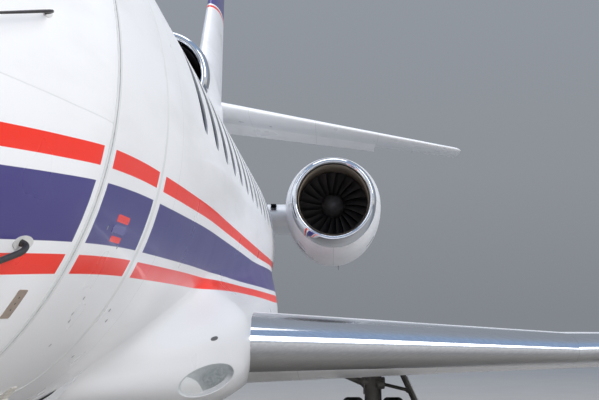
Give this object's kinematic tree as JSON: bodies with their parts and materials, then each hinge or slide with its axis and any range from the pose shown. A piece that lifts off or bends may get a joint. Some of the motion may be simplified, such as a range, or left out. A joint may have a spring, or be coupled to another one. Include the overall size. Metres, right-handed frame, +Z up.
{
  "type": "three-engined business jet",
  "caption": "Low-wing business jet with engines on both sides of the rear fuselage and one in the tail, standing on its landing gear.",
  "frame": {"origin": "on the ground, under the centreline and midway between the nose tip and the fin's trailing tip", "axes": "+Y aft along the fuselage, +X to the port (left) side, +Z up"},
  "size_m": [19.33, 20.21, 7.55],
  "materials": {
    "white_paint": "gloss",
    "white_skin": "gloss",
    "polished_metal": "polished",
    "exhaust_metal": "heat stained",
    "engine_core": "matte",
    "fan_metal": "satin",
    "glazing": "clear",
    "lamp_glass": "clear",
    "gear_paint": "satin",
    "tyre_rubber": "matte",
    "cabin_lining": "matte",
    "cockpit_plastic": "matte"
  },
  "bodies": {
    "airframe": {"belly_fairing": "white_paint", "cabin_floor": "cabin_lining", "cabin_fuselage": "white_paint", "center_engine": "exhaust_metal", "center_inlet_lip": "polished_metal", "center_intake": "white_skin", "cockpit_fittings": "cockpit_plastic", "engine_left": "engine_core", "engine_right": "engine_core", "fin": "white_skin", "flap_left": "white_skin", "flap_right": "white_skin", "forward_fuselage": "white_paint", "inlet_lip_left": "polished_metal", "inlet_lip_right": "polished_metal", "landing_light_left": "lamp_glass", "landing_light_right": "lamp_glass", "main_gear_door_left": "white_skin", "main_gear_door_right": "white_skin", "main_leg_left": "gear_paint", "main_leg_right": "gear_paint", "nacelle_left": "white_skin", "nacelle_right": "white_skin", "nose_leg": "gear_paint", "pylon_left": "white_skin", "pylon_right": "white_skin", "radome": "white_paint", "rear_fuselage": "white_paint", "side_window_left": "glazing", "side_window_right": "glazing", "slat_inner_left": "polished_metal", "slat_inner_right": "polished_metal", "slat_outer_left": "polished_metal", "slat_outer_right": "polished_metal", "tail_cone": "white_paint", "tailplane_left": "white_skin", "tailplane_right": "white_skin", "windshield_center": "glazing", "windshield_left": "glazing", "windshield_right": "glazing", "wing_left": "white_paint", "wing_right": "white_paint"},
    "door": {"passenger_door": "white_paint"},
    "rudder": {"rudder": "white_skin"},
    "nose_steering": {"nose_fork": "gear_paint"},
    "nose_wheels": {"nose_wheels": "tyre_rubber"},
    "aileron_left": {"aileron_left": "white_skin"},
    "elevator_left": {"elevator_left": "white_skin"},
    "fan_left": {"fan_left": "fan_metal"},
    "main_wheels_left": {"main_wheels_left": "tyre_rubber"},
    "aileron_right": {"aileron_right": "white_skin"},
    "elevator_right": {"elevator_right": "white_skin"},
    "fan_right": {"fan_right": "fan_metal"},
    "main_wheels_right": {"main_wheels_right": "tyre_rubber"}
  },
  "joints": [
    {"name": "door_hinge", "type": "hinge", "parent": "airframe", "child": "door", "pos_m": [0.69368, -5.92, 1.1616], "axis": [0.0178, 0.9998, -0.0126], "range_deg": [0, 108]},
    {"name": "aileron_left_hinge", "type": "hinge", "parent": "airframe", "child": "aileron_left", "pos_m": [6.9, 1.43658, 1.20844], "axis": [0.9635, 0.2676, 0.0101], "range_deg": [-25, 25]},
    {"name": "aileron_right_hinge", "type": "hinge", "parent": "airframe", "child": "aileron_right", "pos_m": [-6.9, 1.43658, 1.20844], "axis": [0.9635, -0.2676, -0.0101], "range_deg": [-25, 25]},
    {"name": "elevator_left_hinge", "type": "hinge", "parent": "airframe", "child": "elevator_left", "pos_m": [0.23, 6.97605, 4.32918], "axis": [0.9124, 0.4009, -0.0826], "range_deg": [-6, 34]},
    {"name": "elevator_right_hinge", "type": "hinge", "parent": "airframe", "child": "elevator_right", "pos_m": [-0.23, 6.97605, 4.32918], "axis": [0.9124, -0.4009, 0.0826], "range_deg": [-6, 34]},
    {"name": "rudder_hinge", "type": "hinge", "parent": "airframe", "child": "rudder", "pos_m": [0, 8.04813, 3.72], "axis": [0, 0.4072, 0.9133], "range_deg": [-25, 25]},
    {"name": "fan_left_shaft", "type": "hinge", "parent": "airframe", "child": "fan_left", "pos_m": [1.88, 2.815, 2.64], "axis": [0, 1, 0], "continuous": true},
    {"name": "fan_right_shaft", "type": "hinge", "parent": "airframe", "child": "fan_right", "pos_m": [-1.88, 2.815, 2.64], "axis": [0, 1, 0], "continuous": true},
    {"name": "nose_steering_pivot", "type": "hinge", "parent": "airframe", "child": "nose_steering", "pos_m": [0, -7.215, 0.6], "axis": [0, 0, 1], "range_deg": [-60, 60]},
    {"name": "nose_axle", "type": "hinge", "parent": "nose_steering", "child": "nose_wheels", "pos_m": [0, -7.215, 0.2201], "axis": [1, 0, 0], "continuous": true},
    {"name": "main_axle_left", "type": "hinge", "parent": "airframe", "child": "main_wheels_left", "pos_m": [2.225, 0.695, 0.36485], "axis": [1, 0, 0], "continuous": true},
    {"name": "main_axle_right", "type": "hinge", "parent": "airframe", "child": "main_wheels_right", "pos_m": [-2.225, 0.695, 0.36485], "axis": [1, 0, 0], "continuous": true}
  ],
  "couplings": [
    {"joint": "aileron_right_hinge", "follows": "aileron_left_hinge", "ratio": -1},
    {"joint": "elevator_right_hinge", "follows": "elevator_left_hinge", "ratio": 1}
  ]
}
